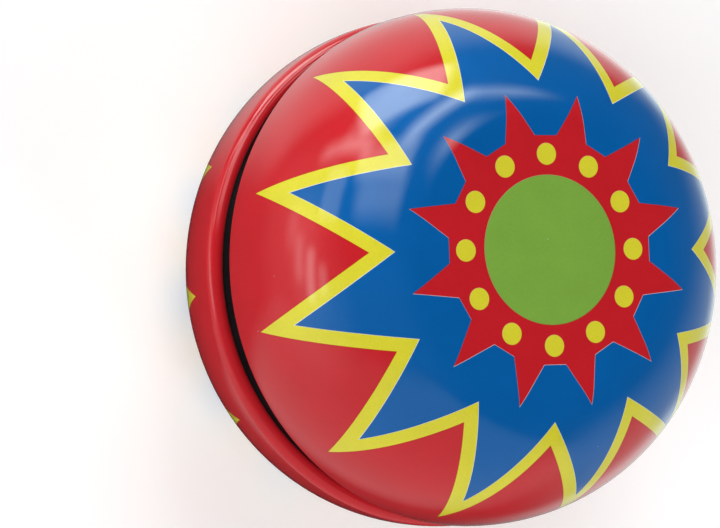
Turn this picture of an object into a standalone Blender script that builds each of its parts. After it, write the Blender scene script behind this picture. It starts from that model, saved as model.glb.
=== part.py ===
"""A tin yo-yo lying on its rear face: two drawn tinplate shells curled over black moulded cores, on one steel pin.

The axis of symmetry is +Z. The origin is the centre of the rear face's flat, which the toy lies on.
Lengths are in metres. Heights of the turned outlines are measured from the mid-plane between the halves.
"""
import math

import bmesh
import bpy
from mathutils import Matrix

MM = 0.001

# The toy as a whole
OUTER_RADIUS = 30.0 * MM
HALF_WIDTH = 22.75 * MM
HALF_GAP = 2.15 * MM
CLEARANCE = 0.3 * MM
SEGMENTS = 60
SHARP_EDGE = math.radians(32)

# Tinplate shell: a flat centre, a shoulder that follows a superellipse, and a lip rolled in under the core,
# whose edge turns back as a narrow hem
SHEET = 0.3 * MM
FLAT_RADIUS = 15.6 * MM
LIP_RADIUS = 1.3 * MM
SHOULDER_RADIAL_POWER = 1.19
SHOULDER_AXIAL_POWER = 0.893
SHOULDER_POINTS = 14
LIP_POINTS = 5
HEM_RADIUS = 0.5 * MM
HEM_POINTS = 3

# Black moulded core: string-side plate, friction boss, skirt, hub and stiffening ribs
PLATE_FACE = 3.0 * MM
PLATE_THICKNESS = 1.8 * MM
BOSS_FACE = HALF_GAP + 0.1 * MM
BOSS_RADIUS = 8.5 * MM
BOSS_FOOT_RADIUS = 9.4 * MM
CORE_RADIUS = 29.0 * MM
CORE_CHAMFER = 0.5 * MM
SKIRT_TOP = 8.0 * MM
SKIRT_TOP_RADIUS = 28.8 * MM
SKIRT_THICKNESS = 1.4 * MM
HUB_RADIUS = 6.5 * MM
HUB_TOP = 13.0 * MM
RIB_COUNT = 6
RIB_THICKNESS = 1.4 * MM
RIB_TOP = 7.2 * MM
SEAT_DEPTH = 0.8 * MM

# Axle: pin, clamped spacer tube, free-turning string sleeve, washers and push nuts
PIN_RADIUS = 1.5 * MM
PIN_CHAMFER = 0.3 * MM
BORE_RADIUS = PIN_RADIUS + CLEARANCE
SPACER_RADIUS = 2.8 * MM
SLEEVE_BORE = SPACER_RADIUS + CLEARANCE
SLEEVE_RADIUS = 4.0 * MM
SLEEVE_WAIST = 3.75 * MM
SLEEVE_HALF_LENGTH = BOSS_FACE - 0.35 * MM
WASHER_RADIUS = 4.5 * MM
WASHER_THICKNESS = 0.8 * MM
NUT_RADIUS = 4.0 * MM
NUT_DOME_RADIUS = 2.6 * MM
NUT_THICKNESS = 1.3 * MM
NUT_RIM = 0.4 * NUT_THICKNESS
NUT_DISH = 0.5 * NUT_THICKNESS
PIN_PROUD = 0.8 * MM
AXLE_SEGMENTS = 32

WASHER_FACE = HUB_TOP + CLEARANCE
NUT_FACE = WASHER_FACE + WASHER_THICKNESS + CLEARANCE
PIN_END = NUT_FACE + NUT_THICKNESS + PIN_PROUD

COLOURS = {
    "printed_tin": ((0.60, 0.02, 0.03, 1.0), 0.22, 0.0),
    "black_plastic": ((0.012, 0.012, 0.014, 1.0), 0.45, 0.0),
    "zinc_steel": ((0.62, 0.63, 0.64, 1.0), 0.30, 1.0),
    "brass": ((0.72, 0.50, 0.20, 1.0), 0.28, 1.0),
}


def clear_scene():
    for item in list(bpy.data.objects):
        bpy.data.objects.remove(item)


def material(name):
    """A Principled material of the named finish, made once."""
    found = bpy.data.materials.get(name)
    if found:
        return found
    colour, roughness, metallic = COLOURS[name]
    made = bpy.data.materials.new(name)
    made.use_nodes = True
    shader = made.node_tree.nodes["Principled BSDF"]
    shader.inputs["Base Color"].default_value = colour
    shader.inputs["Roughness"].default_value = roughness
    shader.inputs["Metallic"].default_value = metallic
    return made


def finish_object(name, mesh, finish, parent):
    """Links a mesh as a smooth-shaded object under the given empty."""
    mesh.materials.append(material(finish))
    mesh.shade_smooth()
    mesh.set_sharp_from_angle(angle=SHARP_EDGE)
    made = bpy.data.objects.new(name, mesh)
    bpy.context.scene.collection.objects.link(made)
    made.parent = parent
    return made


def arc(centre, radius, start, end, count):
    """Points (r, z) on an arc between two angles in degrees, ends included."""
    angles = [math.radians(start + (end - start) * i / (count - 1)) for i in range(count)]
    return [(centre[0] + radius * math.cos(a), centre[1] + radius * math.sin(a)) for a in angles]


def turned_mesh(name, outline, segments, closed):
    """Turns an outline of (r, z) points about Z. A closed outline makes a ring, an open one is capped at its ends."""
    shape = bmesh.new()
    rings = []
    for r, z in outline:
        turn = [2 * math.pi * k / segments for k in range(segments)]
        rings.append([shape.verts.new((r * math.cos(a), r * math.sin(a), z)) for a in turn])
    pairs = list(zip(rings, rings[1:]))
    if closed:
        pairs.append((rings[-1], rings[0]))
    for low, high in pairs:
        for k in range(segments):
            after = (k + 1) % segments
            shape.faces.new((low[k], low[after], high[after], high[k]))
    if not closed:
        shape.faces.new(rings[0])
        shape.faces.new(rings[-1])
    bmesh.ops.recalc_face_normals(shape, faces=shape.faces)
    mesh = bpy.data.meshes.new(name)
    shape.to_mesh(mesh)
    shape.free()
    return mesh


def turned(name, outline, finish, parent, segments=SEGMENTS, closed=True):
    return finish_object(name, turned_mesh(name, outline, segments, closed), finish, parent)


def shoulder_point(u):
    """The outside of the shoulder: u is 0 at the flat centre's edge and a quarter turn at the widest point."""
    foot = HALF_GAP + LIP_RADIUS
    r = FLAT_RADIUS + (OUTER_RADIUS - FLAT_RADIUS) * math.sin(u) ** SHOULDER_RADIAL_POWER
    z = foot + (HALF_WIDTH - foot) * max(math.cos(u), 0.0) ** SHOULDER_AXIAL_POWER
    return r, z


def shoulder(depth):
    """The shoulder's outline, moved the given depth into the sheet along its own normal."""
    step = 1e-3
    points = []
    for i in range(SHOULDER_POINTS):
        u = 0.5 * math.pi * i / (SHOULDER_POINTS - 1)
        r, z = shoulder_point(u)
        before = shoulder_point(max(u - step, 0.0))
        after = shoulder_point(min(u + step, 0.5 * math.pi))
        dr, dz = after[0] - before[0], after[1] - before[1]
        if i == 0:
            dr, dz = 1.0, 0.0
        if i == SHOULDER_POINTS - 1:
            dr, dz = 0.0, -1.0
        length = math.hypot(dr, dz)
        points.append((r + depth * dz / length, z - depth * dr / length))
    return points


def shell_outline():
    """Outside from the flat centre down to the hem's edge, then back up the inside."""
    lip_centre = (OUTER_RADIUS - LIP_RADIUS, HALF_GAP + LIP_RADIUS)
    hem_centre = (OUTER_RADIUS - LIP_RADIUS, HALF_GAP + HEM_RADIUS)
    outside = shoulder(0.0)
    outside += arc(lip_centre, LIP_RADIUS, 0, -90, LIP_POINTS)[1:]
    outside += arc(hem_centre, HEM_RADIUS, -90, -180, HEM_POINTS)[1:]
    inside = shoulder(SHEET)
    inside += arc(lip_centre, LIP_RADIUS - SHEET, 0, -90, LIP_POINTS)[1:]
    inside += arc(hem_centre, HEM_RADIUS - SHEET, -90, -180, HEM_POINTS)[1:]
    return outside + inside[::-1]


def make_shell(name, half):
    """The drawn cap that carries the printing."""
    return turned(name, shell_outline(), "printed_tin", half, closed=False)


def core_outline():
    """Half section of the core, round from the spacer's seat along the string side and back over the hub."""
    plate_back = PLATE_FACE + PLATE_THICKNESS
    seat = BOSS_FACE + SEAT_DEPTH
    return [
        (BORE_RADIUS, seat),
        (SPACER_RADIUS + CLEARANCE, seat),
        (SPACER_RADIUS + CLEARANCE, BOSS_FACE),
        (BOSS_RADIUS, BOSS_FACE),
        (BOSS_FOOT_RADIUS, PLATE_FACE),
        (CORE_RADIUS - CORE_CHAMFER, PLATE_FACE),
        (CORE_RADIUS, PLATE_FACE + CORE_CHAMFER),
        (SKIRT_TOP_RADIUS, SKIRT_TOP),
        (SKIRT_TOP_RADIUS - SKIRT_THICKNESS, SKIRT_TOP),
        (CORE_RADIUS - SKIRT_THICKNESS, plate_back),
        (HUB_RADIUS, plate_back),
        (HUB_RADIUS, HUB_TOP),
        (BORE_RADIUS, HUB_TOP),
    ]


def make_ribs(name, half):
    """The radial ribs behind the plate, from the hub to the skirt."""
    inner = 0.5 * (BORE_RADIUS + HUB_RADIUS)
    outer = CORE_RADIUS - 0.5 * SKIRT_THICKNESS
    low = PLATE_FACE + 0.5 * PLATE_THICKNESS
    shape = bmesh.new()
    for k in range(RIB_COUNT):
        size = Matrix.Diagonal((outer - inner, RIB_THICKNESS, RIB_TOP - low, 1.0))
        place = Matrix.Translation((0.5 * (inner + outer), 0.0, 0.5 * (low + RIB_TOP)))
        turn = Matrix.Rotation(2 * math.pi * (k + 0.5) / RIB_COUNT, 4, "Z")
        bmesh.ops.create_cube(shape, size=1.0, matrix=turn @ place @ size)
    mesh = bpy.data.meshes.new(name)
    shape.to_mesh(mesh)
    shape.free()
    ribs = bpy.data.objects.new(name, mesh)
    bpy.context.scene.collection.objects.link(ribs)
    ribs.parent = half
    ribs.hide_render = True
    ribs.display_type = "WIRE"
    return ribs


def make_core(name, half):
    """The moulded core that the shell is curled over, with its ribs joined on."""
    core = turned(name, core_outline(), "black_plastic", half)
    join = core.modifiers.new("ribs", "BOOLEAN")
    join.operation = "UNION"
    join.solver = "EXACT"
    join.object = make_ribs(name + "_ribs", half)
    return core


def make_washer(name, half):
    """The plain washer that spreads the push nut's load over the hub."""
    top = WASHER_FACE + WASHER_THICKNESS
    outline = [(BORE_RADIUS, WASHER_FACE), (WASHER_RADIUS, WASHER_FACE), (WASHER_RADIUS, top), (BORE_RADIUS, top)]
    return turned(name, outline, "zinc_steel", half, AXLE_SEGMENTS)


def make_push_nut(name, half):
    """The dished nut pushed onto the pin's end."""
    rim = NUT_FACE + NUT_RIM
    top = NUT_FACE + NUT_THICKNESS
    outline = [
        (BORE_RADIUS, NUT_FACE + NUT_DISH),
        (NUT_DOME_RADIUS, NUT_FACE),
        (NUT_RADIUS, NUT_FACE),
        (NUT_RADIUS, rim),
        (NUT_DOME_RADIUS, rim),
        (BORE_RADIUS, top),
    ]
    return turned(name, outline, "zinc_steel", half, AXLE_SEGMENTS)


def make_axle_pin(toy):
    outline = [
        (PIN_RADIUS - PIN_CHAMFER, PIN_END),
        (PIN_RADIUS, PIN_END - PIN_CHAMFER),
        (PIN_RADIUS, -PIN_END + PIN_CHAMFER),
        (PIN_RADIUS - PIN_CHAMFER, -PIN_END),
    ]
    return turned("axle_pin", outline, "zinc_steel", toy, AXLE_SEGMENTS, closed=False)


def make_axle_spacer(toy):
    """The tube clamped between the cores, which sets the gap and carries the sleeve."""
    half = BOSS_FACE + SEAT_DEPTH - CLEARANCE
    outline = [(BORE_RADIUS, -half), (SPACER_RADIUS, -half), (SPACER_RADIUS, half), (BORE_RADIUS, half)]
    return turned("axle_spacer", outline, "zinc_steel", toy, AXLE_SEGMENTS)


def make_string_sleeve(toy):
    """The waisted sleeve that the string loops round. It turns freely on the spacer."""
    half = SLEEVE_HALF_LENGTH
    waist = [-0.5 * half, 0.0, 0.5 * half]
    outside = [(SLEEVE_RADIUS, -half)]
    outside += [(SLEEVE_WAIST + (SLEEVE_RADIUS - SLEEVE_WAIST) * (z / half) ** 2, z) for z in waist]
    outside += [(SLEEVE_RADIUS, half)]
    outline = [(SLEEVE_BORE, -half)] + outside + [(SLEEVE_BORE, half)]
    return turned("string_sleeve", outline, "brass", toy, AXLE_SEGMENTS)


def empty(name, parent=None):
    made = bpy.data.objects.new(name, None)
    bpy.context.scene.collection.objects.link(made)
    made.parent = parent
    return made


def build():
    clear_scene()
    toy = empty("toy")
    toy.location.z = HALF_WIDTH
    for side, tilt in (("front", 0.0), ("rear", math.pi)):
        half = empty(side + "_half", toy)
        half.rotation_euler.x = tilt
        make_shell(side + "_shell", half)
        make_core(side + "_core", half)
        make_washer(side + "_washer", half)
        make_push_nut(side + "_push_nut", half)
    make_axle_pin(toy)
    make_axle_spacer(toy)
    make_string_sleeve(toy)


build()
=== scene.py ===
# %% [markdown]
# # A printed tin yo-yo
# The toy is two drawn tin caps on one axle. Each cap is curled over a black moulded core, and the string runs in the
# narrow gap between them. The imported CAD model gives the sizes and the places, and this lesson builds the looks on it.

# %% Load the frame
import math

import bmesh
import bpy
from mathutils import Matrix, Vector


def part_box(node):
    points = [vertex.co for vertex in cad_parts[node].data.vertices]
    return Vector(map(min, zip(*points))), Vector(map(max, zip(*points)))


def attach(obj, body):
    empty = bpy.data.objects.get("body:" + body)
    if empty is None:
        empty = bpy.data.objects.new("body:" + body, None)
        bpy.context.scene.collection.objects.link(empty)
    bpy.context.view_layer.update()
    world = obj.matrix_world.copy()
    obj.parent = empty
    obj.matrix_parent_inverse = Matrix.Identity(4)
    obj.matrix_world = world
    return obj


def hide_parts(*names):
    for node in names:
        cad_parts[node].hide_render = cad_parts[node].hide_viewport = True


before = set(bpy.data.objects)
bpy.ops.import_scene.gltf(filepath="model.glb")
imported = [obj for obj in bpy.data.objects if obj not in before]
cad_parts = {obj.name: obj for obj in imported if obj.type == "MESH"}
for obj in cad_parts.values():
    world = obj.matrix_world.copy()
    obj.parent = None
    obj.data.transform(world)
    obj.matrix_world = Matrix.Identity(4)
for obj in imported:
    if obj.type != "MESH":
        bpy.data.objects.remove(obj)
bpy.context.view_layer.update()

# %% Read the sizes
MM = 0.001
front_low, front_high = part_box("front_shell")
rear_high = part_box("rear_shell")[1]
OUTER_RADIUS = front_high.x
MID_HEIGHT = 0.5 * (front_low.z + rear_high.z)
HALF_WIDTH = front_high.z - MID_HEIGHT
HALF_GAP = front_low.z - MID_HEIGHT
toy_centre = Vector((0.0, 0.0, MID_HEIGHT))
print(f"radius {OUTER_RADIUS / MM:.2f}, half width {HALF_WIDTH / MM:.2f}, half gap {HALF_GAP / MM:.2f} mm")

# %% [markdown]
# ## The camera
# The toy lies on its back and is looked at from above and from its left, through a long lens that hardly converges.
# The camera is placed by the direction back towards it, its distance and a small roll, so each can be changed alone.

# %% Camera
VIEW_BACK = Vector((-0.4533, -0.0589, 0.8894))
VIEW_ROLL = math.radians(-1.72)
VIEW_OFFSET = Vector((-0.20335, -0.02427, 0.37561))
LENS_MM = 182.82


def view_axes():
    """The camera's right, up and back directions in the row frame."""
    back = VIEW_BACK.normalized()
    right = Vector((0, 1, 0)).cross(back).normalized()
    turn = Matrix.Rotation(VIEW_ROLL, 3, back)
    return turn @ right, turn @ back.cross(right), back


right, up, back = view_axes()
lens = bpy.data.cameras.new("studio_camera")
lens.lens = LENS_MM
lens.sensor_width = 36.0
lens.clip_start, lens.clip_end = 0.01, 20.0
camera = bpy.data.objects.new("studio_camera", lens)
bpy.context.scene.collection.objects.link(camera)
placed = Matrix((right, up, back)).transposed().to_4x4()
placed.translation = toy_centre + VIEW_OFFSET
camera.matrix_world = placed
bpy.context.scene.camera = camera
bpy.context.scene.view_settings.view_transform = "Standard"
print("camera at", [round(v, 4) for v in camera.matrix_world.translation])

# %% [markdown]
# ## The studio
# A shiny toy is lit in two steps: large soft lights give its colours their even brightness, and cards and windows are
# placed for what the lacquer mirrors. The soft lights come first, each given by two angles from the toy: how far to the
# right of the camera, and how far above it.

# %% Directions from the toy
def towards(across, above):
    """The direction from the toy that is so many degrees to the right of the camera and above it."""
    a, e = math.radians(across), math.radians(above)
    return right * (math.cos(e) * math.sin(a)) + up * math.sin(e) + back * (math.cos(e) * math.cos(a))


def facing_axes(across, above, roll=0.0):
    """The side, up and out directions of a rectangle that stands at these angles and faces the toy."""
    out = towards(across, above)
    turn = Matrix.Rotation(math.radians(roll), 3, out)
    side = up.cross(out).normalized()
    return turn @ side, turn @ out.cross(side), out


# %% Soft lights
LIGHT_DISTANCE = 0.9
WATTS_PER_RADIANCE = 4.0
SOFT_LIGHTS = [
    # name, across, above, degrees wide, degrees tall, radiance
    ("front_light", -17, -17, 80, 46, 1.80),
    ("top_light", -30, 70, 60, 30, 3.15),
    ("high_right_light", 40, 55, 40, 30, 2.10),
    ("low_right_light", 100, -45, 50, 16, 5.80),
    ("right_light", 105, 5, 30, 30, 1.20),
]


def soft_light(name, across, above, wide, tall, radiance):
    """A rectangular light that brightens the colours and isn't mirrored."""
    light = bpy.data.lights.new(name, "AREA")
    light.shape = "RECTANGLE"
    light.size = 2 * LIGHT_DISTANCE * math.tan(math.radians(wide) / 2)
    light.size_y = 2 * LIGHT_DISTANCE * math.tan(math.radians(tall) / 2)
    light.energy = WATTS_PER_RADIANCE * light.size * light.size_y * radiance
    made = bpy.data.objects.new(name, light)
    bpy.context.scene.collection.objects.link(made)
    place = Matrix(facing_axes(across, above)).transposed().to_4x4()
    place.translation = toy_centre + towards(across, above) * LIGHT_DISTANCE
    made.matrix_world = place
    made.visible_camera = False
    made.visible_glossy = False


for spec in SOFT_LIGHTS:
    soft_light(*spec)
print(len(SOFT_LIGHTS), "soft lights")

# %% [markdown]
# ## Working tools
# Three small helpers carry the rest of the lesson. One adds a node and sets its inputs, one does sums with nodes, and
# one makes an empty node group with named sockets. They keep the trees short enough to read.

# %% Node helpers
SOCKETS = {"float": "NodeSocketFloat", "vector": "NodeSocketVector", "color": "NodeSocketColor",
           "int": "NodeSocketInt", "geometry": "NodeSocketGeometry", "material": "NodeSocketMaterial"}


def node(tree, kind, inputs=None, **settings):
    """Adds a node. inputs maps a socket's name or number to a value or to another node's output."""
    made = tree.nodes.new(kind)
    for key, value in settings.items():
        setattr(made, key, value)
    for key, value in (inputs or {}).items():
        if isinstance(value, bpy.types.NodeSocket):
            tree.links.new(value, made.inputs[key])
        else:
            made.inputs[key].default_value = value
    return made


def sums(tree, operation, *terms, clamp=False):
    """The output of one Math node."""
    made = node(tree, "ShaderNodeMath", dict(enumerate(terms)), operation=operation, use_clamp=clamp)
    return made.outputs[0]


def new_group(name, kind, inputs, outputs):
    """An empty node group. inputs holds (name, type, default), outputs holds (name, type)."""
    group = bpy.data.node_groups.new(name, kind)
    for label, what, default in inputs:
        socket = group.interface.new_socket(label, in_out="INPUT", socket_type=SOCKETS[what])
        if default is not None:
            socket.default_value = default
    for label, what in outputs:
        group.interface.new_socket(label, in_out="OUTPUT", socket_type=SOCKETS[what])
    entry = group.nodes.new("NodeGroupInput")
    leave = group.nodes.new("NodeGroupOutput")
    return group, entry.outputs, leave.inputs


def new_material(name):
    """A node material, its tree and its Principled shader."""
    made = bpy.data.materials.new(name)
    made.use_nodes = True
    return made, made.node_tree, made.node_tree.nodes["Principled BSDF"]


# %% [markdown]
# ## The mirrored room
# Lacquered tin is a curved mirror, so the windows, cards and dark corners of the room show in it as bent shapes. They
# could be real planes round the toy, but those would also throw light and shadows. Here they are painted on the world
# instead: a group draws one soft-edged rectangle in a given direction, and only glossy rays see the painted room.

# %% The card group
BARELY_AHEAD = 1e-4


def card_group():
    """One soft-edged rectangle of light in a given direction, as a shader node group."""
    group, given, result = new_group("room_card", "ShaderNodeTree", [
        ("Direction", "vector", None), ("Side", "vector", None), ("Up", "vector", None), ("Out", "vector", None),
        ("Half Width", "float", 0.2), ("Half Height", "float", 0.2), ("Softness", "float", 0.05),
        ("Brightness", "float", 1.0)], [("Radiance", "float")])

    def along(axis):
        return node(group, "ShaderNodeVectorMath", {0: given["Direction"], 1: given[axis]},
                    operation="DOT_PRODUCT").outputs["Value"]

    ahead = along("Out")
    depth = sums(group, "MAXIMUM", ahead, BARELY_AHEAD)
    seen = sums(group, "GREATER_THAN", ahead, BARELY_AHEAD)
    for axis, half in (("Side", "Half Width"), ("Up", "Half Height")):
        off = sums(group, "ABSOLUTE", sums(group, "DIVIDE", along(axis), depth))
        edge = node(group, "ShaderNodeMapRange", {
            0: off, 1: sums(group, "ADD", given[half], given["Softness"]),
            2: sums(group, "SUBTRACT", given[half], given["Softness"])}, interpolation_type="SMOOTHSTEP").outputs[0]
        seen = sums(group, "MULTIPLY", seen, edge)
    group.links.new(sums(group, "MULTIPLY", seen, given["Brightness"]), result["Radiance"])
    return group


ROOM_CARD = card_group()
print("room card:", len(ROOM_CARD.nodes), "nodes")

# %% Cards of the room
ROOM_CARDS = [
    # name, across, above, degrees wide, degrees tall, roll, degrees of soft edge, radiance
    ("ceiling_box", -21, 71, 35, 24, 27, 4, 5.5),
    ("ceiling_end", -30, 61, 22, 35, -25, 5, 1.6),
    ("arc_top", 23, 51, 27, 7, 24, 6, 7.5),
    ("arc_side", 56, 47, 2, 22, 42, 8, 6.0),
    ("window", -6, 40, 36, 13, -8, 4, 3.0),
    ("window_sill", -4, 27, 35, 15, -6, 6, 2.1),
    ("left_band", -47, 47, 30, 4, 14, 6, 4.0),
    ("left_window", -44, 29, 14, 20, 0, 3, 1.8),
    ("left_wall", -63, 3, 50, 76, 16, 22, 0.45),
    ("slit_glow", -60, 5, 22, 40, 20, 8, 0.45),
    ("slit_right", -45.3, -3, 6, 11, 0, 3, 1.7),
    ("slit_middle", -55, -1.5, 6, 19, -3, 3, 2.6),
    ("slit_left", -64, 4.5, 6, 16, 3, 4, 1.5),
    ("slit_end", -72, 15, 7, 14, 8, 5, 0.8),
    ("round_lamp", 40, 28, 6, 11, 45, 8, 5.5),
    ("near_floor", -70, -71, 120, 92, -43, 20, 0.45),
    ("right_wall", 131, -20, 50, 88, -44, 20, 0.5),
    ("far_wall", -165, 49, 86, 64, 26, 16, 0.8),
    ("far_paper", 161, -4, 26, 56, -8, 12, 0.6),
]
ROOM_SHADE = 0.02
AMBIENT = 0.06
BACKDROP = 1.0
WHITE = (1.0, 1.0, 1.0, 1.0)
DAYLIGHT = (0.93, 1.0, 0.99, 1.0)


def painted_room():
    """The world: the cards for glossy rays, the backdrop for the camera and a little even light for the rest."""
    world = bpy.data.worlds.new("studio_room")
    world.use_nodes = True
    tree = world.node_tree
    direction = node(tree, "ShaderNodeTexCoord").outputs["Generated"]
    radiance = ROOM_SHADE
    for name, across, above, wide, tall, roll, soft, brightness in ROOM_CARDS:
        side, high, out = facing_axes(across, above, roll)
        card = node(tree, "ShaderNodeGroup", {
            "Direction": direction, "Side": side, "Up": high, "Out": out,
            "Half Width": math.tan(math.radians(wide) / 2), "Half Height": math.tan(math.radians(tall) / 2),
            "Softness": math.tan(math.radians(soft)), "Brightness": brightness}, node_tree=ROOM_CARD, label=name)
        radiance = sums(tree, "ADD", radiance, card.outputs[0])
    path = node(tree, "ShaderNodeLightPath").outputs
    plain = sums(tree, "MULTIPLY_ADD", path["Is Camera Ray"], BACKDROP - AMBIENT, AMBIENT)
    strength = node(tree, "ShaderNodeMix", {0: path["Is Glossy Ray"], 2: plain, 3: radiance}, data_type="FLOAT")
    background = tree.nodes["Background"]
    tint = node(tree, "ShaderNodeMix", {0: path["Is Glossy Ray"], 6: WHITE, 7: DAYLIGHT}, data_type="RGBA").outputs[2]
    tree.links.new(tint, background.inputs["Color"])
    tree.links.new(strength.outputs[0], background.inputs["Strength"])
    world.cycles.sampling_method = "NONE"
    return world


bpy.context.scene.world = painted_room()
print(len(ROOM_CARDS), "cards in the room")

# %% [markdown]
# The toy lies on a sheet of white paper. The lacquer mirrors the painted room only, so the paper is left out of it. The
# lamps fade away from the toy, so the paper glows more the further it lies, and meets the backdrop without an edge.

# %% Floor
PAPER_TONES = (0.87, 0.92)
PAPER_GLOW = 0.18
FAR_GLOW = 0.84
GLOW_RISES = (0.25, 1.2)
FLOOR_REACH = 3.0
FLOOR_HEIGHT = -0.05 * MM
floor_material, tree, shader = new_material("studio_paper")
speckle = node(tree, "ShaderNodeTexNoise", {"Scale": 900.0, "Detail": 3.0})
where = node(tree, "ShaderNodeTexCoord")
tree.links.new(where.outputs["Object"], speckle.inputs["Vector"])
tone = node(tree, "ShaderNodeMapRange", {0: speckle.outputs[0], 3: PAPER_TONES[0], 4: PAPER_TONES[1]})
tree.links.new(tone.outputs[0], shader.inputs["Base Color"])
shader.inputs["Roughness"].default_value = 0.8
shader.inputs["Emission Color"].default_value = WHITE
reach = node(tree, "ShaderNodeVectorMath", {0: where.outputs["Object"]}, operation="LENGTH").outputs["Value"]
glow = node(tree, "ShaderNodeMapRange", {0: reach, 1: GLOW_RISES[0], 2: GLOW_RISES[1], 3: PAPER_GLOW, 4: FAR_GLOW},
            interpolation_type="SMOOTHSTEP")
tree.links.new(glow.outputs[0], shader.inputs["Emission Strength"])
sheet = bpy.data.meshes.new("floor")
corners = [(x * FLOOR_REACH, y * FLOOR_REACH, FLOOR_HEIGHT) for x, y in ((-1, -1), (1, -1), (1, 1), (-1, 1))]
sheet.from_pydata(corners, [], [(0, 1, 2, 3)])
sheet.materials.append(floor_material)
floor = bpy.data.objects.new("floor", sheet)
bpy.context.scene.collection.objects.link(floor)
floor.visible_glossy = False
print("floor laid")

# %% [markdown]
# ## Turning an outline
# Nearly every piece of a yo-yo is round, so its shape is one outline swept about the axle. Blender's Spin or Screw
# could do it, but a node tree can also note, at every point, where that point lay on the flat sheet before the tin was
# drawn. The printing needs that, because it was printed flat. The tree lays a grid, one column for each outline point
# and one row for each step round the axle, then moves every grid point to its place.

# %% The turning tree
SEAM_GAP = 0.002 * MM


def turning_tree():
    """Turns an outline about the axle and keeps on_sheet, the place of each point on the flat sheet."""
    group, given, result = new_group("turn_on_axle", "GeometryNodeTree", [
        ("Outline", "geometry", None), ("Steps Around", "int", 256), ("Finish", "material", None)],
        [("Turned Piece", "geometry")])
    outline = given["Outline"]
    points = node(group, "GeometryNodeAttributeDomainSize", {0: outline}).outputs["Point Count"]
    rows = sums(group, "ADD", given["Steps Around"], 1)
    grid = node(group, "GeometryNodeMeshGrid", {
        "Size X": 1.0, "Size Y": 1.0, "Vertices X": points, "Vertices Y": rows})
    index = node(group, "GeometryNodeInputIndex").outputs[0]
    column = sums(group, "FLOOR", sums(group, "DIVIDE", index, rows))
    row = sums(group, "SUBTRACT", index, sums(group, "MULTIPLY", column, rows))
    angle = sums(group, "MULTIPLY", sums(group, "DIVIDE", row, given["Steps Around"]), 2 * math.pi)
    position = node(group, "GeometryNodeInputPosition").outputs[0]
    along = node(group, "GeometryNodeInputNamedAttribute", {"Name": "along"}, data_type="FLOAT").outputs[0]
    spot = node(group, "GeometryNodeSampleIndex", data_type="FLOAT_VECTOR")
    reach = node(group, "GeometryNodeSampleIndex", data_type="FLOAT")
    for sampler, field in ((spot, position), (reach, along)):
        group.links.new(outline, sampler.inputs["Geometry"])
        group.links.new(field, sampler.inputs["Value"])
        group.links.new(column, sampler.inputs["Index"])
    place = node(group, "ShaderNodeSeparateXYZ", {0: spot.outputs[0]}).outputs
    cos, sin = sums(group, "COSINE", angle), sums(group, "SINE", angle)
    turned = node(group, "ShaderNodeCombineXYZ", {
        0: sums(group, "MULTIPLY", place["X"], cos), 1: sums(group, "MULTIPLY", place["X"], sin), 2: place["Z"]})
    moved = node(group, "GeometryNodeSetPosition", {"Geometry": grid.outputs["Mesh"], "Position": turned.outputs[0]})
    flat = node(group, "ShaderNodeCombineXYZ", {
        0: sums(group, "MULTIPLY", reach.outputs[0], cos), 1: sums(group, "MULTIPLY", reach.outputs[0], sin)})
    kept = node(group, "GeometryNodeStoreNamedAttribute", {
        "Geometry": moved.outputs[0], "Name": "on_sheet", "Value": flat.outputs[0]}, data_type="FLOAT_VECTOR")
    closed = node(group, "GeometryNodeMergeByDistance", {"Geometry": kept.outputs[0], "Distance": SEAM_GAP})
    smooth = node(group, "GeometryNodeSetShadeSmooth", {"Geometry": closed.outputs[0]})
    real = node(group, "GeometryNodeRealizeInstances", {"Geometry": smooth.outputs[0]})
    done = node(group, "GeometryNodeSetMaterial", {"Geometry": real.outputs[0], "Material": given["Finish"]})
    group.links.new(done.outputs[0], result["Turned Piece"])
    return group


TURNING = turning_tree()
print("turning tree:", len(TURNING.nodes), "nodes")


# %% From a tree to a plain mesh
SHARP_EDGE = 32


def outline_mesh(name, outline):
    """A line of points (r, z) with the distance run along it kept on each point. z is a height in the row frame."""
    mesh = bpy.data.meshes.new(name)
    mesh.from_pydata([(r, 0.0, z) for r, z in outline], [(i, i + 1) for i in range(len(outline) - 1)], [])
    run = [0.0]
    for before, after in zip(outline, outline[1:]):
        run.append(run[-1] + math.dist(before, after))
    mesh.attributes.new("along", "FLOAT", "POINT").data.foreach_set("value", run)
    return mesh


def grown(name, mesh, group, inputs, crease=SHARP_EDGE):
    """Runs a node tree on a mesh and returns the result as a plain object, closed and facing out.

    Edges that turn more than crease degrees stay sharp."""
    source = bpy.data.objects.new(name + "_source", mesh)
    bpy.context.scene.collection.objects.link(source)
    run = source.modifiers.new("grow", "NODES")
    run.node_group = group
    for item in group.interface.items_tree:
        if item.in_out == "INPUT" and item.name in inputs:
            run[item.identifier] = inputs[item.name]
    view = bpy.context.evaluated_depsgraph_get()
    plain = bpy.data.meshes.new_from_object(source.evaluated_get(view), preserve_all_data_layers=True, depsgraph=view)
    bpy.data.objects.remove(source)
    shape = bmesh.new()
    shape.from_mesh(plain)
    bmesh.ops.recalc_face_normals(shape, faces=shape.faces)
    open_edges = sum(not e.is_manifold for e in shape.edges)
    shape.to_mesh(plain)
    shape.free()
    plain.set_sharp_from_angle(angle=math.radians(crease))
    plain.name = name
    made = bpy.data.objects.new(name, plain)
    bpy.context.scene.collection.objects.link(made)
    print(f"{name}: {len(plain.polygons)} faces, {open_edges} open edges")
    return made


def arc(centre, radius, start, end, count):
    """Points (r, z) on an arc between two angles in degrees, ends included."""
    angles = [math.radians(start + (end - start) * i / (count - 1)) for i in range(count)]
    return [(centre[0] + radius * math.cos(a), centre[1] + radius * math.sin(a)) for a in angles]


# %% [markdown]
# ## The tin caps
# A press draws each cap from a flat printed disc. The middle stays flat, the shoulder follows a soft superellipse down
# to the rim, and the rim is rolled in and hemmed. The inside is the same line moved in by the sheet's thickness.

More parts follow.
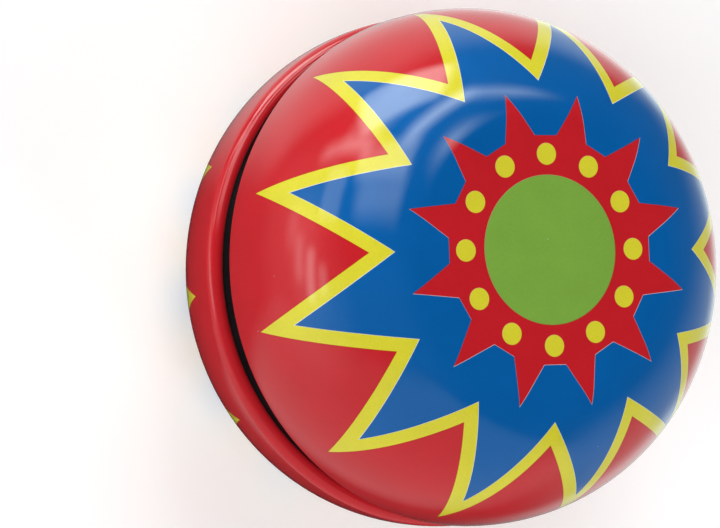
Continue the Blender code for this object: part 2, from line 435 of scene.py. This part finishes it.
# %% Shell outline
SHEET = 0.3 * MM
FLAT_RINGS = 8
FLAT_RADIUS = 15.6 * MM
LIP_RADIUS = 1.3 * MM
HEM_RADIUS = 0.5 * MM
RADIAL_POWER = 1.19
AXIAL_POWER = 0.893
OUTER_STEPS = {"shoulder": 72, "lip": 15, "hem": 6}
INNER_STEPS = {"shoulder": 30, "lip": 8, "hem": 4}
SLOPE_STEP = 1e-3
FLAT_SLOPE, WALL_SLOPE = (1.0, 0.0), (0.0, -1.0)


def shoulder_point(u):
    """The outside of the shoulder, as (radius, height above the mid-plane), for u from 0 to a quarter turn."""
    foot = HALF_GAP + LIP_RADIUS
    r = FLAT_RADIUS + (OUTER_RADIUS - FLAT_RADIUS) * math.sin(u) ** RADIAL_POWER
    return r, foot + (HALF_WIDTH - foot) * max(math.cos(u), 0.0) ** AXIAL_POWER


def shoulder(depth, count):
    """The shoulder's line, moved a given depth into the tin."""
    points = []
    for i in range(count):
        u = 0.5 * math.pi * i / (count - 1)
        r, z = shoulder_point(u)
        before = shoulder_point(max(u - SLOPE_STEP, 0.0))
        after = shoulder_point(min(u + SLOPE_STEP, 0.5 * math.pi))
        dr, dz = after[0] - before[0], after[1] - before[1]
        if i == 0:
            dr, dz = FLAT_SLOPE
        if i == count - 1:
            dr, dz = WALL_SLOPE
        length = math.hypot(dr, dz)
        points.append((r + depth * dz / length, z - depth * dr / length))
    return points


def skin(depth, steps):
    """One side of the sheet: the flat, the shoulder, the lip and the hem, moved a given depth into the tin."""
    flat = [(FLAT_RADIUS * i / FLAT_RINGS, HALF_WIDTH - depth) for i in range(FLAT_RINGS)]
    lip = (OUTER_RADIUS - LIP_RADIUS, HALF_GAP + LIP_RADIUS)
    hem = (OUTER_RADIUS - LIP_RADIUS, HALF_GAP + HEM_RADIUS)
    rolled = arc(lip, LIP_RADIUS - depth, 0, -90, steps["lip"])[1:]
    hemmed = arc(hem, HEM_RADIUS - depth, -90, -180, steps["hem"])[1:]
    return flat + shoulder(depth, steps["shoulder"]) + rolled + hemmed


def upright(outline, side):
    """Heights above the mid-plane made heights in the row frame. side is 1 for the front half, -1 for the rear."""
    return [(r, MID_HEIGHT + side * z) for r, z in outline]


printed_side = skin(0.0, OUTER_STEPS)
whole_shell = printed_side + skin(SHEET, INNER_STEPS)[::-1]
PRINT_REACH = sum(math.dist(a, b) for a, b in zip(printed_side, printed_side[1:]))
print(f"sheet radius that carries print: {PRINT_REACH / MM:.2f} mm")

# %% [markdown]
# ## The printing
# Inks go on the flat sheet one plate at a time, and no plate lands exactly where the last one did. So the artwork is a
# group that measures distances on the sheet, and it is placed once for each plate with that plate's own shift. The
# pattern repeats twelve times: folding the angle into one half of a sector leaves three straight lines, one circle on
# the axis and one round disc, and every edge is a signed distance, negative inside.

# %% The artwork group
REPEATS = 12
HALF_SECTOR = math.pi / REPEATS
DISC_RADIUS = 8.40 * MM
DOT_RING = 10.73 * MM
DOT_RADIUS = 1.24 * MM
STAR_VALLEY = 12.83 * MM
STAR_VALLEY_HALF = 1.40 * MM
STAR_TIP = 18.05 * MM
FIELD_CORNER, FIELD_TIP = 19.34 * MM, 32.44 * MM
BAND_CORNER, BAND_TIP = 22.21 * MM, 38.13 * MM


def beyond_line(tree, x, y, start, end):
    """Distance of (x, y) beyond the line from start to end, on the side away from the centre."""
    dx, dy = end[0] - start[0], end[1] - start[1]
    length = math.hypot(dx, dy)
    offset = -(start[0] * dy - start[1] * dx) / length
    return sums(tree, "MULTIPLY_ADD", y, -dx / length, sums(tree, "MULTIPLY_ADD", x, dy / length, offset))


def at_tip(radius):
    """The point at this radius on the line between two repeats."""
    return radius * math.cos(HALF_SECTOR), radius * math.sin(HALF_SECTOR)


def artwork_group():
    """Signed distances, negative inside, from the edges of every printed shape."""
    group, given, result = new_group("artwork", "ShaderNodeTree", [
        ("Sheet Point", "vector", None), ("Plate Shift", "vector", (0.0, 0.0, 0.0)), ("Turn", "float", 0.0)],
        [("Disc", "float"), ("Dots", "float"), ("Star", "float"), ("Field", "float"), ("Band", "float")])
    point = node(group, "ShaderNodeVectorMath", {0: given["Sheet Point"], 1: given["Plate Shift"]},
                 operation="SUBTRACT").outputs[0]
    xyz = node(group, "ShaderNodeSeparateXYZ", {0: point}).outputs
    reach = node(group, "ShaderNodeVectorMath", {0: point}, operation="LENGTH").outputs["Value"]
    angle = sums(group, "SUBTRACT", sums(group, "ARCTAN2", xyz["X"], xyz["Y"]), given["Turn"])
    folded = sums(group, "ABSOLUTE", sums(group, "WRAP", angle, HALF_SECTOR, -HALF_SECTOR))
    x = sums(group, "MULTIPLY", reach, sums(group, "COSINE", folded))
    y = sums(group, "MULTIPLY", reach, sums(group, "SINE", folded))
    disc = sums(group, "SUBTRACT", reach, DISC_RADIUS)
    apart = node(group, "ShaderNodeCombineXYZ", {0: sums(group, "SUBTRACT", x, DOT_RING), 1: y})
    dots = sums(group, "SUBTRACT", node(group, "ShaderNodeVectorMath", {0: apart.outputs[0]},
                                        operation="LENGTH").outputs["Value"], DOT_RADIUS)
    spike = beyond_line(group, x, y, (STAR_VALLEY, STAR_VALLEY_HALF), at_tip(STAR_TIP))
    star = sums(group, "MINIMUM", sums(group, "SUBTRACT", x, STAR_VALLEY), spike)
    field = beyond_line(group, x, y, (FIELD_CORNER, 0.0), at_tip(FIELD_TIP))
    band = beyond_line(group, x, y, (BAND_CORNER, 0.0), at_tip(BAND_TIP))
    for label, value in (("Disc", disc), ("Dots", dots), ("Star", star), ("Field", field), ("Band", band)):
        group.links.new(value, result[label])
    return group


ARTWORK = artwork_group()
print("artwork:", len(ARTWORK.nodes), "nodes")

# %% [markdown]
# Ink spreads a little as it prints, so an edge is a short ramp and not a step. Inks are see-through: each one darkens
# what lies under it. The red plate is a hair too large, so it laps over the yellow in a thin darker line. The blue
# plate is a hair too small and not quite in place, so the white base coat shows beside it as a hairline.

# %% Inks
INK_EDGE = 0.025 * MM
RED_SPREAD = 0.06 * MM
HOLE_SPREAD = 0.015 * MM
BLUE_SPREAD = -0.035 * MM
RED_SHIFT = (0.0, 0.0, 0.0)
BLUE_SHIFT = (0.012 * MM, -0.022 * MM, 0.0)
YELLOW_SHIFT = (0.01 * MM, -0.01 * MM, 0.0)
BARE_HEM = 0.1 * MM
RED_INK = (0.600, 0.014, 0.022, 1.0)
BLUE_INK = (0.001, 0.115, 0.405, 1.0)
YELLOW_INK = (0.770, 0.700, 0.036, 1.0)
GREEN_INK = (0.220, 0.430, 0.060, 1.0)
BASE_COAT = (0.86, 0.87, 0.86, 1.0)


def printed(tree, distance, inside=True, spread=0.0):
    """How much ink lies at a signed distance from a printed edge: 1 inside, 0 outside, or the other way round."""
    edge, ends = (spread, (1.0, 0.0)) if inside else (-spread, (0.0, 1.0))
    return node(tree, "ShaderNodeMapRange", {
        0: distance, 1: edge - INK_EDGE, 2: edge + INK_EDGE, 3: ends[0], 4: ends[1]}).outputs[0]


def lay_ink(tree, under, amount, ink):
    """Ink multiplied over what is under it, by the amount that was printed there."""
    mix = node(tree, "ShaderNodeMix", data_type="RGBA", blend_type="MULTIPLY")
    tree.links.new(amount, mix.inputs[0])
    for value, socket in ((under, mix.inputs[6]), (ink, mix.inputs[7])):
        if isinstance(value, bpy.types.NodeSocket):
            tree.links.new(value, socket)
        else:
            socket.default_value = value
    return mix.outputs[2]


def printing_group():
    """The plates of the artwork laid over the base coat one after another, and where the print ends."""
    group, given, result = new_group("printing", "ShaderNodeTree", [
        ("Sheet Point", "vector", None), ("Sheet Shift", "vector", (0.0, 0.0, 0.0)), ("Turn", "float", 0.0)],
        [("Color", "color"), ("Bare Tin", "float")])

    def plate(shift):
        moved = node(group, "ShaderNodeVectorMath", {0: given["Sheet Shift"], 1: shift})
        made = node(group, "ShaderNodeGroup", node_tree=ARTWORK)
        group.links.new(given["Sheet Point"], made.inputs["Sheet Point"])
        group.links.new(moved.outputs[0], made.inputs["Plate Shift"])
        group.links.new(given["Turn"], made.inputs["Turn"])
        return made.outputs

    red, blue, yellow = plate(RED_SHIFT), plate(BLUE_SHIFT), plate(YELLOW_SHIFT)
    star_red = printed(group, red["Star"])
    for hole in ("Dots", "Disc"):
        star_red = sums(group, "MULTIPLY", star_red, printed(group, red[hole], False, HOLE_SPREAD))
    red_ink = sums(group, "MAXIMUM", star_red, printed(group, red["Band"], False, RED_SPREAD))
    blue_field = printed(group, blue["Field"], spread=BLUE_SPREAD)
    blue_ink = sums(group, "MULTIPLY", blue_field, printed(group, blue["Star"], False))
    band = sums(group, "MULTIPLY", printed(group, yellow["Band"]), printed(group, yellow["Field"], False))
    yellow_ink = sums(group, "MAXIMUM", band, printed(group, yellow["Dots"]))
    color = lay_ink(group, BASE_COAT, yellow_ink, YELLOW_INK)
    color = lay_ink(group, color, printed(group, yellow["Disc"]), GREEN_INK)
    color = lay_ink(group, color, blue_ink, BLUE_INK)
    color = lay_ink(group, color, red_ink, RED_INK)
    reach = node(group, "ShaderNodeVectorMath", {0: given["Sheet Point"]}, operation="LENGTH").outputs["Value"]
    bare = node(group, "ShaderNodeMapRange", {0: reach, 1: PRINT_REACH - BARE_HEM, 2: PRINT_REACH, 3: 0.0, 4: 1.0})
    group.links.new(color, result["Color"])
    group.links.new(bare.outputs[0], result["Bare Tin"])
    return group


PRINTING = printing_group()
print("printing:", len(PRINTING.nodes), "nodes")

# %% [markdown]
# Three effects are shared by the finishes: grain, which makes a colour slightly uneven at two sizes; a ripple, which
# lets reflections waver as they do in sprayed lacquer; and dust, which lies as a few pale specks.

# %% Grain, ripple and dust groups
def noise(tree, where, scale, detail):
    """The value of one Noise Texture node, about 0.5 on average."""
    return node(tree, "ShaderNodeTexNoise", {"Vector": where, "Scale": scale, "Detail": detail}).outputs[0]


def grain_group():
    """Makes a colour slightly lighter and darker at a fine and a coarse size."""
    group, given, result = new_group("grain", "ShaderNodeTree", [
        ("Color", "color", (1.0, 1.0, 1.0, 1.0)), ("Fine Size", "float", 0.00025), ("Coarse Size", "float", 0.004),
        ("Amount", "float", 0.08)], [("Color", "color"), ("Unevenness", "float")])
    where = node(group, "ShaderNodeTexCoord").outputs["Object"]
    layers = []
    for size, detail in (("Fine Size", 2.0), ("Coarse Size", 3.0)):
        scale = sums(group, "DIVIDE", 1.0, given[size])
        layers.append(noise(group, where, scale, detail))
    both = sums(group, "SUBTRACT", sums(group, "ADD", layers[0], layers[1]), 1.0)
    tone = sums(group, "MULTIPLY_ADD", both, given["Amount"], 1.0)
    shaded = node(group, "ShaderNodeVectorMath", {0: given["Color"]}, operation="SCALE")
    group.links.new(tone, shaded.inputs["Scale"])
    group.links.new(shaded.outputs[0], result["Color"])
    group.links.new(both, result["Unevenness"])
    return group


def ripple_group():
    """A height made of slow waves and small pits."""
    group, given, result = new_group("ripple", "ShaderNodeTree", [
        ("Wave Size", "float", 0.0035), ("Pit Size", "float", 0.0004), ("Pit Share", "float", 0.12)],
        [("Height", "float")])
    where = node(group, "ShaderNodeTexCoord").outputs["Object"]
    wave = noise(group, where, sums(group, "DIVIDE", 1.0, given["Wave Size"]), 1.0)
    pits = noise(group, where, sums(group, "DIVIDE", 1.0, given["Pit Size"]), 2.0)
    group.links.new(sums(group, "MULTIPLY_ADD", pits, given["Pit Share"], wave), result["Height"])
    return group


def dust_group():
    """A mask of small round specks, one in each chosen cell."""
    group, given, result = new_group("dust", "ShaderNodeTree", [
        ("Spacing", "float", 0.0022), ("Speck Size", "float", 0.05), ("Share", "float", 0.12)], [("Dust", "float")])
    where = node(group, "ShaderNodeTexCoord").outputs["Object"]
    cells = node(group, "ShaderNodeTexVoronoi", {
        "Vector": where, "Scale": sums(group, "DIVIDE", 1.0, given["Spacing"])})
    chosen = sums(group, "LESS_THAN", node(group, "ShaderNodeSeparateColor", {0: cells.outputs["Color"]}).outputs[0],
                  given["Share"])
    near = node(group, "ShaderNodeMapRange", {0: cells.outputs["Distance"], 1: given["Speck Size"], 2: 0.0})
    group.links.new(sums(group, "MULTIPLY", near.outputs[0], chosen), result["Dust"])
    return group


GRAIN, RIPPLE, DUST = grain_group(), ripple_group(), dust_group()
print("shared effects:", [g.name for g in (GRAIN, RIPPLE, DUST)])


# %% Printed tin
DUST_TINT = (0.75, 0.74, 0.72, 1.0)
BARE_TIN = (0.55, 0.55, 0.53, 1.0)
INK_ROUGHNESS, DUST_ROUGHNESS = 0.42, 0.3
LACQUER_ROUGHNESS, LACQUER_IOR = 0.05, 1.5


def tin_material(name, shift, turn):
    """The finish of one cap. shift is how far off centre its print is, turn is how far round it was put on."""
    made, tree, shader = new_material(name)
    sheet_point = node(tree, "ShaderNodeAttribute", attribute_name="on_sheet").outputs["Vector"]
    art = node(tree, "ShaderNodeGroup", {
        "Sheet Point": sheet_point, "Sheet Shift": shift, "Turn": turn}, node_tree=PRINTING).outputs
    grain = node(tree, "ShaderNodeGroup", {"Color": art["Color"], "Fine Size": 0.22 * MM, "Coarse Size": 5 * MM,
                                           "Amount": 0.16}, node_tree=GRAIN).outputs
    dust = node(tree, "ShaderNodeGroup", {
        "Spacing": 2.4 * MM, "Speck Size": 0.045, "Share": 0.10}, node_tree=DUST).outputs["Dust"]
    dusty = node(tree, "ShaderNodeMix", {0: sums(tree, "MULTIPLY", dust, 0.5), 6: grain["Color"], 7: DUST_TINT},
                 data_type="RGBA").outputs[2]
    color = node(tree, "ShaderNodeMix", {0: art["Bare Tin"], 6: dusty, 7: BARE_TIN}, data_type="RGBA").outputs[2]
    tree.links.new(color, shader.inputs["Base Color"])
    tree.links.new(art["Bare Tin"], shader.inputs["Metallic"])
    rough = sums(tree, "MULTIPLY_ADD", grain["Unevenness"], 0.06, INK_ROUGHNESS)
    tree.links.new(sums(tree, "MULTIPLY_ADD", dust, DUST_ROUGHNESS, rough), shader.inputs["Roughness"])
    height = node(tree, "ShaderNodeGroup", {
        "Wave Size": 3.5 * MM, "Pit Size": 0.4 * MM, "Pit Share": 0.10}, node_tree=RIPPLE).outputs["Height"]
    bump = node(tree, "ShaderNodeBump", {"Strength": 0.25, "Distance": 0.02 * MM, "Height": height})
    tree.links.new(bump.outputs[0], shader.inputs["Normal"])
    shader.inputs["Specular IOR Level"].default_value = 0.1
    shader.inputs["Coat Weight"].default_value = 1.0
    shader.inputs["Coat Roughness"].default_value = LACQUER_ROUGHNESS
    shader.inputs["Coat IOR"].default_value = LACQUER_IOR
    return made


FRONT_PRINT_SHIFT, FRONT_PRINT_TURN = (0.37 * MM, 0.70 * MM, 0.0), math.radians(-0.6)
REAR_PRINT_SHIFT, REAR_PRINT_TURN = (-0.58 * MM, -0.12 * MM, 0.0), math.radians(10.0)
front_tin = tin_material("front_printed_tin", FRONT_PRINT_SHIFT, FRONT_PRINT_TURN)
rear_tin = tin_material("rear_printed_tin", REAR_PRINT_SHIFT, REAR_PRINT_TURN)
print("printed tin for both caps")

# %% Turn the caps
CAP_STEPS, CORE_STEPS, SLEEVE_STEPS = 288, 144, 96

for side, word, finish in ((1, "front", front_tin), (-1, "rear", rear_tin)):
    cap = grown(word + "_cap", outline_mesh(word + "_cap", upright(whole_shell, side)), TURNING,
                {"Steps Around": CAP_STEPS, "Finish": finish})
    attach(cap, "yoyo")
    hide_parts(word + "_shell")

# %% [markdown]
# ## The black cores
# Each cap is closed on the string side by a moulded core: a plate set back behind the lip, a low boss that grips the
# string, a skirt inside the cap and a hub on the pin. Moulded corners are never sharp, so the outline's corners are
# rounded before it is turned. Small ribs repeat round the axle, on the boss to grip and behind the plate to stiffen.

# %% Rounded outlines
def rounded(corners, radius, steps=3):
    """A closed outline of corners with each corner cut to a small arc, ending where it began."""
    made = []
    for i, corner in enumerate(corners):
        here, before, after = Vector(corner), Vector(corners[i - 1]), Vector(corners[(i + 1) % len(corners)])
        size = min(radius, 0.4 * (before - here).length, 0.4 * (after - here).length)
        start, end = here + (before - here).normalized() * size, here + (after - here).normalized() * size
        for k in range(steps + 1):
            t = k / steps
            spot = start.lerp(here, t).lerp(here.lerp(end, t), t)
            made.append((spot.x, spot.y))
    return made + made[:1]


CORNER_RADIUS = 0.35 * MM
PIN_BORE = 1.8 * MM
SEAT_DEPTH = 0.8 * MM
CORE_RIM = 1.0 * MM
SPACER_SEAT_RADIUS = 3.1 * MM
BOSS_FACE = HALF_GAP + 0.1 * MM
BOSS_RADIUS, BOSS_FOOT_RADIUS = 8.5 * MM, 9.4 * MM
PLATE_FACE, PLATE_BACK = 3.0 * MM, 4.8 * MM
CORE_RADIUS, SKIRT_TOP_RADIUS = 29.0 * MM, 28.8 * MM
SKIRT_TOP, SKIRT_THICKNESS = 8.0 * MM, 1.4 * MM
HUB_RADIUS, HUB_TOP = 6.5 * MM, 13.0 * MM
RING_RADII = (13.0 * MM, 17.0 * MM, 21.0 * MM)
RING_HALF_WIDTH, RING_DEPTH = 0.25 * MM, 0.15 * MM


def core_outline():
    """The core's half section, from the spacer's seat out along the string side and back over the hub."""
    corners = [(PIN_BORE, BOSS_FACE + SEAT_DEPTH), (SPACER_SEAT_RADIUS, BOSS_FACE + SEAT_DEPTH),
               (SPACER_SEAT_RADIUS, BOSS_FACE), (BOSS_RADIUS, BOSS_FACE), (BOSS_FOOT_RADIUS, PLATE_FACE)]
    for ring in RING_RADII:
        corners += [(ring - RING_HALF_WIDTH, PLATE_FACE), (ring, PLATE_FACE + RING_DEPTH),
                    (ring + RING_HALF_WIDTH, PLATE_FACE)]
    corners += [(CORE_RADIUS, PLATE_FACE), (CORE_RADIUS, PLATE_FACE + CORE_RIM), (SKIRT_TOP_RADIUS, SKIRT_TOP),
                (SKIRT_TOP_RADIUS - SKIRT_THICKNESS, SKIRT_TOP), (CORE_RADIUS - SKIRT_THICKNESS, PLATE_BACK),
                (HUB_RADIUS, PLATE_BACK), (HUB_RADIUS, HUB_TOP), (PIN_BORE, HUB_TOP)]
    return rounded(corners, CORNER_RADIUS)


# %% [markdown]
# A rib is one rounded bar, and a node tree sets copies of it round the axle. The bar is a box with its corners pulled
# in by a bevel's worth, made from a small grid of points, and the tree turns each copy outwards.

# %% The rib tree
def rib_mesh(name, inner, outer, thickness, low, high):
    """One radial bar from inner to outer along X, with chamfered top edges. Heights are from the mid-plane."""
    cut = min(0.3 * thickness, 0.4 * abs(high - low))
    step = math.copysign(cut, high - low)
    shape = bmesh.new()
    loops = []
    for z, pull in ((low, 0.0), (high - step, 0.0), (high, cut)):
        x0, x1, y = inner + pull, outer - pull, 0.5 * thickness - pull
        loops.append([shape.verts.new((x, w, z)) for x, w in ((x0, -y), (x1, -y), (x1, y), (x0, y))])
    for lower, upper in zip(loops, loops[1:]):
        for k in range(4):
            shape.faces.new((lower[k], lower[(k + 1) % 4], upper[(k + 1) % 4], upper[k]))
    shape.faces.new(loops[0])
    shape.faces.new(loops[-1])
    bmesh.ops.recalc_face_normals(shape, faces=shape.faces)
    mesh = bpy.data.meshes.new(name)
    shape.to_mesh(mesh)
    shape.free()
    return mesh


def rib_tree():
    """Copies of one rib at equal steps round the axle."""
    group, given, result = new_group("ribs_round_axle", "GeometryNodeTree", [
        ("Rib", "geometry", None), ("Count", "int", 6), ("First Angle", "float", 0.0), ("Finish", "material", None)],
        [("Ribs", "geometry")])
    spots = node(group, "GeometryNodePoints", {"Count": given["Count"]})
    index = node(group, "GeometryNodeInputIndex").outputs[0]
    share = sums(group, "DIVIDE", index, given["Count"])
    angle = sums(group, "MULTIPLY_ADD", share, 2 * math.pi, given["First Angle"])
    turn = node(group, "ShaderNodeCombineXYZ", {2: angle})
    copies = node(group, "GeometryNodeInstanceOnPoints", {
        "Points": spots.outputs[0], "Instance": given["Rib"], "Rotation": turn.outputs[0]})
    real = node(group, "GeometryNodeRealizeInstances", {"Geometry": copies.outputs[0]})
    done = node(group, "GeometryNodeSetMaterial", {"Geometry": real.outputs[0], "Material": given["Finish"]})
    group.links.new(done.outputs[0], result["Ribs"])
    return group


RIBS = rib_tree()
print("rib tree:", len(RIBS.nodes), "nodes")


# %% Black moulded plastic
PLASTIC_BLACK = (0.013, 0.013, 0.015, 1.0)
PLASTIC_DUST = (0.35, 0.34, 0.32, 1.0)


def plastic_material():
    """Satin black with a fine spark-eroded texture and a few pale specks of dust."""
    made, tree, shader = new_material("black_moulded_plastic")
    grain = node(tree, "ShaderNodeGroup", {"Color": PLASTIC_BLACK, "Fine Size": 0.15 * MM,
                                           "Coarse Size": 3 * MM, "Amount": 0.5}, node_tree=GRAIN).outputs
    dust = node(tree, "ShaderNodeGroup", {
        "Spacing": 1.6 * MM, "Speck Size": 0.06, "Share": 0.15}, node_tree=DUST).outputs["Dust"]
    color = node(tree, "ShaderNodeMix", {0: sums(tree, "MULTIPLY", dust, 0.4), 6: grain["Color"], 7: PLASTIC_DUST},
                 data_type="RGBA").outputs[2]
    tree.links.new(color, shader.inputs["Base Color"])
    tree.links.new(sums(tree, "MULTIPLY_ADD", grain["Unevenness"], 0.25, 0.45), shader.inputs["Roughness"])
    height = node(tree, "ShaderNodeGroup", {
        "Wave Size": 0.5 * MM, "Pit Size": 0.12 * MM, "Pit Share": 0.8}, node_tree=RIPPLE).outputs["Height"]
    bump = node(tree, "ShaderNodeBump", {"Strength": 0.4, "Distance": 0.03 * MM, "Height": height})
    tree.links.new(bump.outputs[0], shader.inputs["Normal"])
    return made


black = plastic_material()

# %% Cores and their ribs
BACK_RIBS = {"count": 6, "thickness": 1.4 * MM, "low": 3.6 * MM, "high": 7.2 * MM,
             "inner": 5.8 * MM, "outer": 27.9 * MM}
GRIP_RIBS = {"count": 24, "thickness": 0.5 * MM, "low": BOSS_FACE + 0.2 * MM, "high": BOSS_FACE - 0.08 * MM,
             "inner": 4.8 * MM, "outer": 8.0 * MM}


def rib_ring(name, spec, side, first):
    """One ring of ribs on the front (side 1) or the rear (side -1) core."""
    mesh = rib_mesh(name, spec["inner"], spec["outer"], spec["thickness"],
                    MID_HEIGHT + side * spec["low"], MID_HEIGHT + side * spec["high"])
    return grown(name, mesh, RIBS, {"Count": spec["count"], "First Angle": first, "Finish": black})


for side, word in ((1, "front"), (-1, "rear")):
    plate = grown(word + "_core_moulding", outline_mesh(word + "_core_moulding", upright(core_outline(), side)),
                  TURNING, {"Steps Around": CORE_STEPS, "Finish": black}, crease=50)
    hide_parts(word + "_core")
    backs = rib_ring(word + "_core_ribs", BACK_RIBS, side, math.pi / 6)
    grips = rib_ring(word + "_grip_ribs", GRIP_RIBS, side, 0.0)
    for piece in (plate, backs, grips):
        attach(piece, "yoyo")

# %% [markdown]
# ## The metal on the axle
# A brass sleeve turns freely on a steel spacer, so the string can slip when the toy sleeps at the end of it. Turned
# metal keeps fine rings from the tool, which run round the axle, so the marks depend on height and radius only.

# %% Tool mark group and metals
def tool_mark_group():
    """Fine rings round the axle, as a tone and a height."""
    group, given, result = new_group("tool_marks", "ShaderNodeTree", [
        ("Mark Size", "float", 0.00008), ("Contrast", "float", 0.15)], [("Tone", "float"), ("Height", "float")])
    where = node(group, "ShaderNodeSeparateXYZ", {0: node(group, "ShaderNodeTexCoord").outputs["Object"]}).outputs
    radius = sums(group, "SQRT", sums(group, "ADD", sums(group, "MULTIPLY", where["X"], where["X"]),
                                      sums(group, "MULTIPLY", where["Y"], where["Y"])))
    ring = node(group, "ShaderNodeCombineXYZ", {0: radius, 1: where["Z"]})
    marks = noise(group, ring.outputs[0], sums(group, "DIVIDE", 1.0, given["Mark Size"]), 3.0)
    tone = sums(group, "MULTIPLY_ADD", sums(group, "SUBTRACT", marks, 0.5), given["Contrast"], 1.0)
    group.links.new(tone, result["Tone"])
    group.links.new(marks, result["Height"])
    return group


TOOL_MARKS = tool_mark_group()


def metal_material(name, color, rough, mark_size, contrast):
    """Turned metal with tool marks of a given size and contrast."""
    made, tree, shader = new_material(name)
    marks = node(tree, "ShaderNodeGroup", {"Mark Size": mark_size, "Contrast": contrast}, node_tree=TOOL_MARKS).outputs
    grain = node(tree, "ShaderNodeGroup", {
        "Color": color, "Fine Size": 0.3 * MM, "Coarse Size": 2.5 * MM, "Amount": 0.18}, node_tree=GRAIN).outputs
    toned = node(tree, "ShaderNodeVectorMath", {0: grain["Color"], "Scale": marks["Tone"]}, operation="SCALE")
    tree.links.new(toned.outputs[0], shader.inputs["Base Color"])
    tree.links.new(sums(tree, "MULTIPLY_ADD", grain["Unevenness"], 0.2, rough), shader.inputs["Roughness"])
    bump = node(tree, "ShaderNodeBump", {"Strength": 0.3, "Distance": 0.01 * MM, "Height": marks["Height"]})
    tree.links.new(bump.outputs[0], shader.inputs["Normal"])
    shader.inputs["Metallic"].default_value = 1.0
    return made


brass = metal_material("turned_brass", (0.68, 0.47, 0.19, 1.0), 0.30, 0.09 * MM, 0.35)
zinc = metal_material("zinc_plated_steel", (0.60, 0.61, 0.62, 1.0), 0.28, 0.16 * MM, 0.20)

# %% String sleeve
SLEEVE_RADIUS, SLEEVE_WAIST = 4.0 * MM, 3.75 * MM
SLEEVE_BORE = 3.1 * MM
SLEEVE_HALF = BOSS_FACE - 0.35 * MM
OUTER_CHAMFER, BORE_CHAMFER = 0.15 * MM, 0.1 * MM
WAIST_STEPS = 12


def sleeve_outline():
    """A waisted tube with chamfered ends, so the string settles in its middle."""
    heights = [-1 + 2 * i / WAIST_STEPS for i in range(WAIST_STEPS + 1)]
    waist = [(SLEEVE_WAIST + (SLEEVE_RADIUS - SLEEVE_WAIST) * t * t, SLEEVE_HALF * t) for t in heights]
    waist[0] = (waist[0][0] - OUTER_CHAMFER, waist[0][1])
    waist[-1] = (waist[-1][0] - OUTER_CHAMFER, waist[-1][1])
    waist.insert(1, (SLEEVE_RADIUS, -SLEEVE_HALF + OUTER_CHAMFER))
    waist.insert(-1, (SLEEVE_RADIUS, SLEEVE_HALF - OUTER_CHAMFER))
    bore_end = SLEEVE_HALF - BORE_CHAMFER
    bore = [(SLEEVE_BORE + BORE_CHAMFER, SLEEVE_HALF), (SLEEVE_BORE, bore_end), (SLEEVE_BORE, -bore_end),
            (SLEEVE_BORE + BORE_CHAMFER, -SLEEVE_HALF)]
    return waist + bore + [waist[0]]


sleeve = grown("brass_sleeve", outline_mesh("brass_sleeve", upright(sleeve_outline(), 1)), TURNING,
               {"Steps Around": SLEEVE_STEPS, "Finish": brass}, crease=40)
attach(sleeve, "sleeve")
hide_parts("string_sleeve")

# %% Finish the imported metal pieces
for name in ("axle_pin", "axle_spacer", "front_washer", "rear_washer", "front_push_nut", "rear_push_nut"):
    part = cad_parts[name]
    part.data.materials.clear()
    part.data.materials.append(zinc)
print("zinc finish on the pin, spacer, washers and push nuts")
